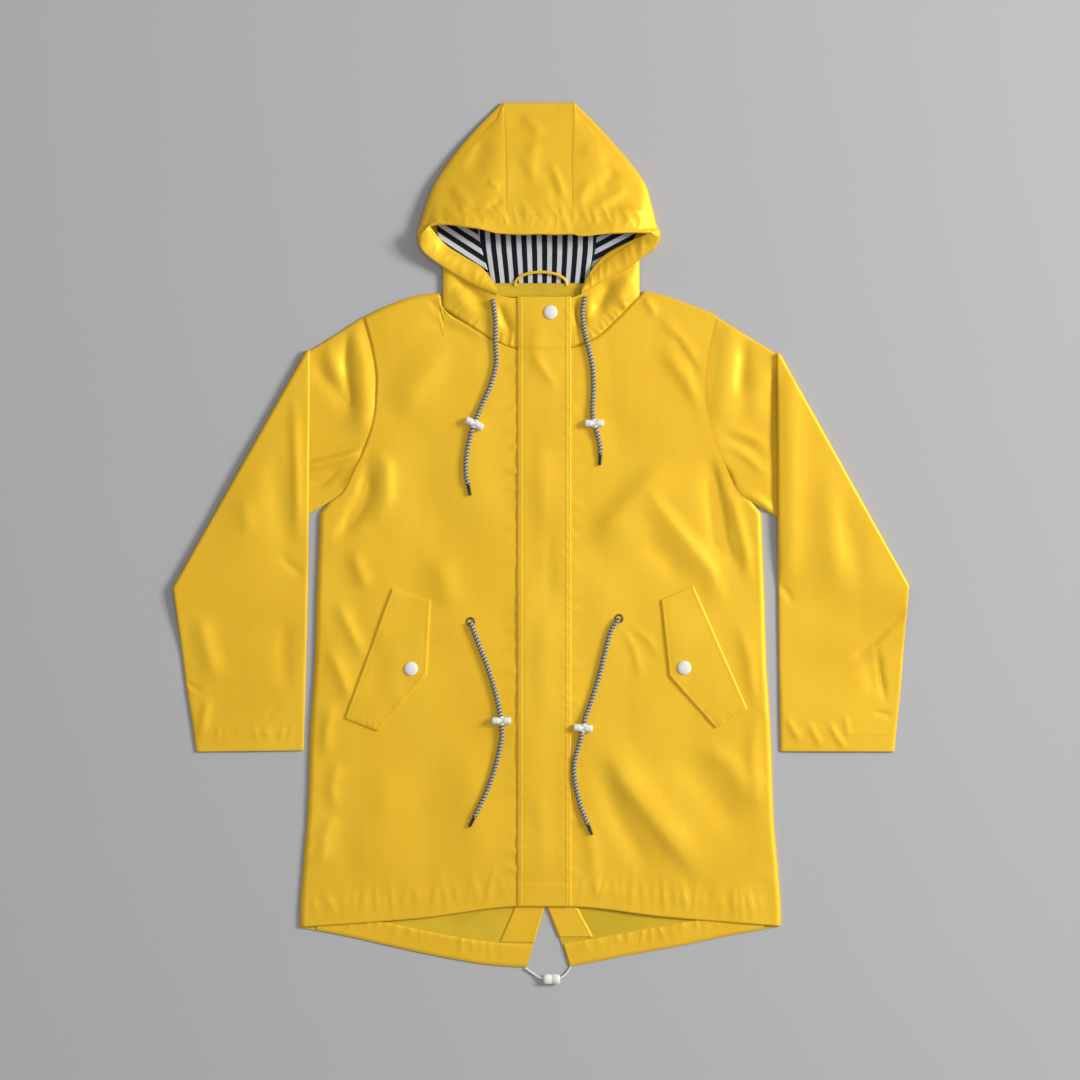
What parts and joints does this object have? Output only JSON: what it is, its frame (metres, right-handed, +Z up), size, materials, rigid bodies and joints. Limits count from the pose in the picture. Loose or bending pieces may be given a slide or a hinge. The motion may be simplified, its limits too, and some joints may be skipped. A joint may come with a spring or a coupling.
{
  "type": "hooded raincoat laid flat",
  "caption": "Thigh-length hooded raincoat laid flat face up: storm flap with snap, slanted pocket flaps, striped hood lining, drawcords with barrel toggles, fishtail hem with back vent",
  "frame": {"origin": "On the surface that the coat lies on, under the middle of the coat's length and width without its cords", "axes": "+Y from the hem to the top of the hood, +X to the right of the coat as it lies face up, +Z up"},
  "size_m": [0.8822, 1.0568, 0.0266],
  "materials": {
    "rain_cloth": "coated satin",
    "inside_cloth": "matt",
    "striped_lining": "matt jersey, dark and pale stripes",
    "white_plastic": "satin",
    "eyelet_metal": "satin",
    "braided_cord": "matt braid, black and white",
    "white_elastic": "matt",
    "black_aglet": "gloss"
  },
  "bodies": {
    "root": {"back": "rain_cloth", "back_hem_left": "inside_cloth", "back_hem_right": "inside_cloth", "front_left": "rain_cloth", "front_right": "rain_cloth", "hanger_loop": "rain_cloth", "hem_elastic": "white_elastic", "hem_toggle": "white_plastic", "hood_aglet_left": "black_aglet", "hood_aglet_right": "black_aglet", "hood_centre": "rain_cloth", "hood_cord_left": "braided_cord", "hood_cord_right": "braided_cord", "hood_lining_centre": "striped_lining", "hood_lining_left": "striped_lining", "hood_lining_right": "striped_lining", "hood_neck_left": "rain_cloth", "hood_neck_right": "rain_cloth", "hood_rim_left": "rain_cloth", "hood_rim_right": "rain_cloth", "hood_side_left": "rain_cloth", "hood_side_right": "rain_cloth", "hood_toggle_left": "white_plastic", "hood_toggle_right": "white_plastic", "neck_facing": "inside_cloth", "placket": "rain_cloth", "pocket_flap_left": "rain_cloth", "pocket_flap_right": "rain_cloth", "sleeve_left": "rain_cloth", "sleeve_right": "rain_cloth", "snap_cap_neck": "white_plastic", "snap_cap_pocket_left": "white_plastic", "snap_cap_pocket_right": "white_plastic", "vent_facing_left": "inside_cloth", "vent_facing_right": "inside_cloth", "waist_aglet_left": "black_aglet", "waist_aglet_right": "black_aglet", "waist_cord_left": "braided_cord", "waist_cord_right": "braided_cord", "waist_eyelet_left": "eyelet_metal", "waist_eyelet_right": "eyelet_metal", "waist_toggle_left": "white_plastic", "waist_toggle_right": "white_plastic"}
  },
  "joints": []
}
